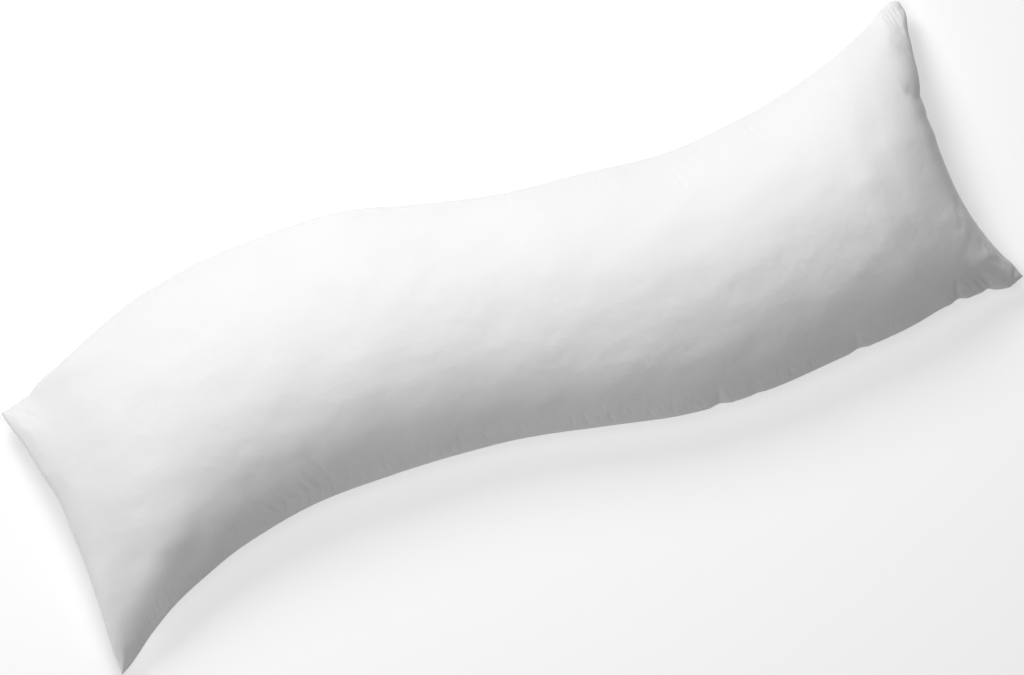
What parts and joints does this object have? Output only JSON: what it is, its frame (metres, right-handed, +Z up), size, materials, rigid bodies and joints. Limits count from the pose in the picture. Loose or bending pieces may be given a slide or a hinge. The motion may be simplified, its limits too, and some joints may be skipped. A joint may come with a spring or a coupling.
{
  "type": "body pillow",
  "caption": "Long filled cushion in a plain smooth cover, lying on its back in a soft S, with drawn-in ends, pinched corners and a flat underside",
  "frame": {"origin": "on the surface that the cushion lies on, below the middle of its box", "axes": "+X along the cushion, +Y across it, +Z up out of its crowned face"},
  "size_m": [1.6626, 0.596, 0.2119],
  "materials": {
    "cover": "smooth, tightly woven white cotton with a faint sheen"
  },
  "bodies": {
    "root": {"body_pillow": "cover"}
  },
  "joints": []
}
